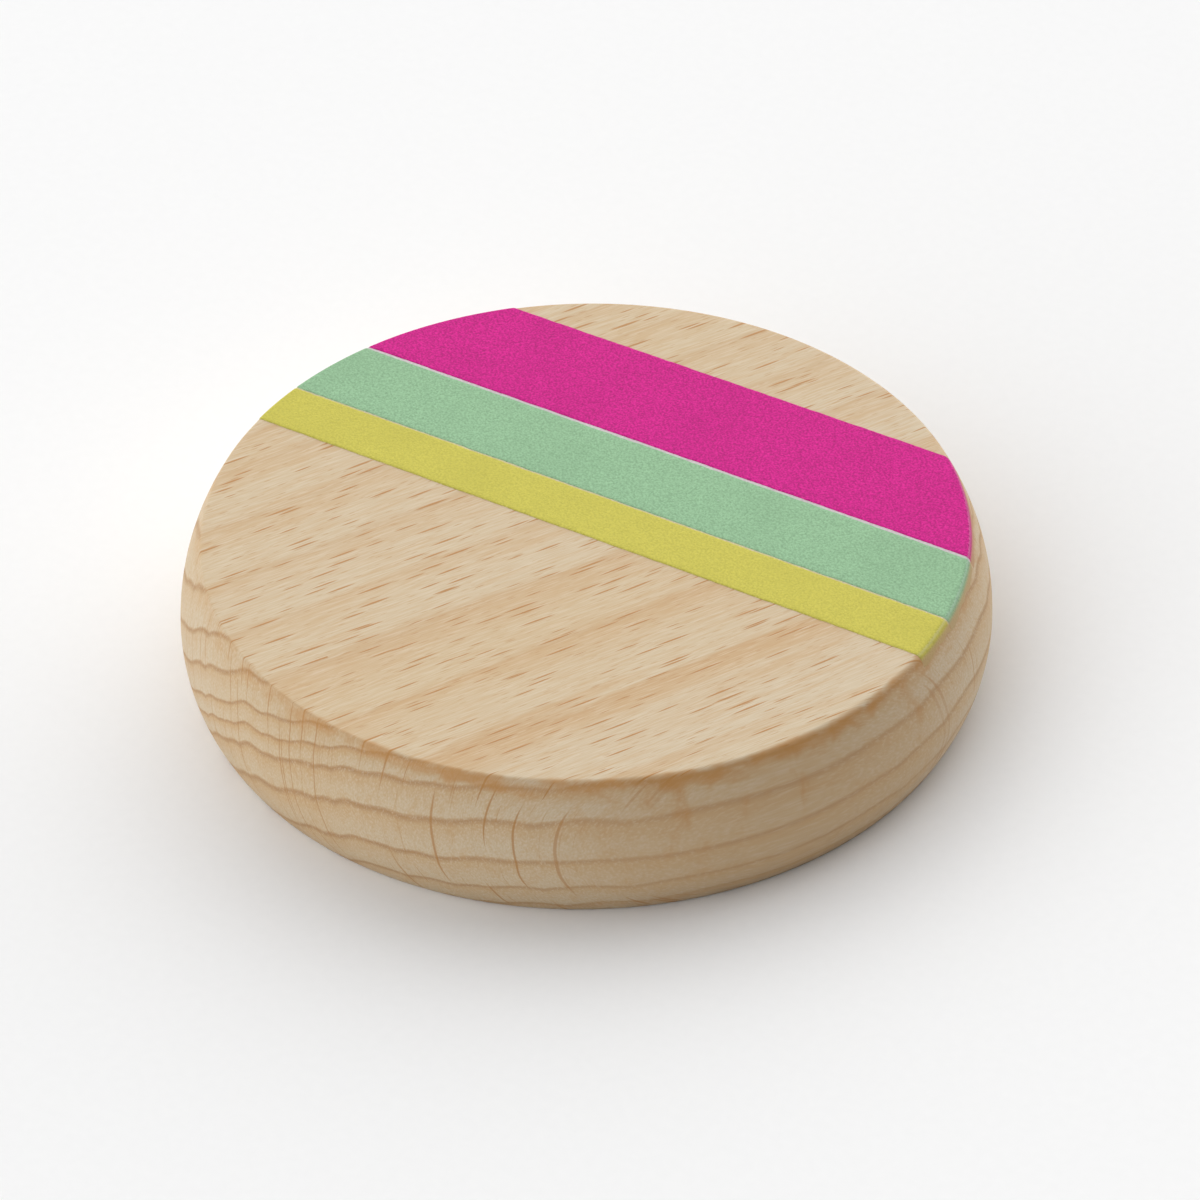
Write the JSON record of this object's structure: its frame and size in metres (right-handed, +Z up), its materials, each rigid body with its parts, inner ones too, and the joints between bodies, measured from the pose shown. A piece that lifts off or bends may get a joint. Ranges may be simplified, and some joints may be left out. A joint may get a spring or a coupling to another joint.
{
  "type": "striped wooden disc",
  "caption": "Turned solid beech disc with flat faces and a barrel-shaped edge, painted across the top with magenta, mint and yellow stripes; lies flat or is held in one hand.",
  "frame": {"origin": "centre of the bottom face, which rests on the table", "axes": "+Z up, along the disc's turning axis; X along the stripes; +Y across them, from the yellow stripe to the magenta one"},
  "size_m": [0.08, 0.08, 0.0156],
  "materials": {
    "beech": "sanded bare beech, unvarnished",
    "white_paint": "thin white undercoat, satin",
    "yellow_paint": "satin acrylic paint with a fine orange-peel texture",
    "mint_paint": "satin acrylic paint with a fine orange-peel texture",
    "magenta_paint": "satin acrylic paint with a fine orange-peel texture"
  },
  "bodies": {
    "root": {"beech_disc": "beech", "white_undercoat": "white_paint", "yellow_stripe": "yellow_paint", "mint_stripe": "mint_paint", "magenta_stripe": "magenta_paint"}
  },
  "joints": []
}
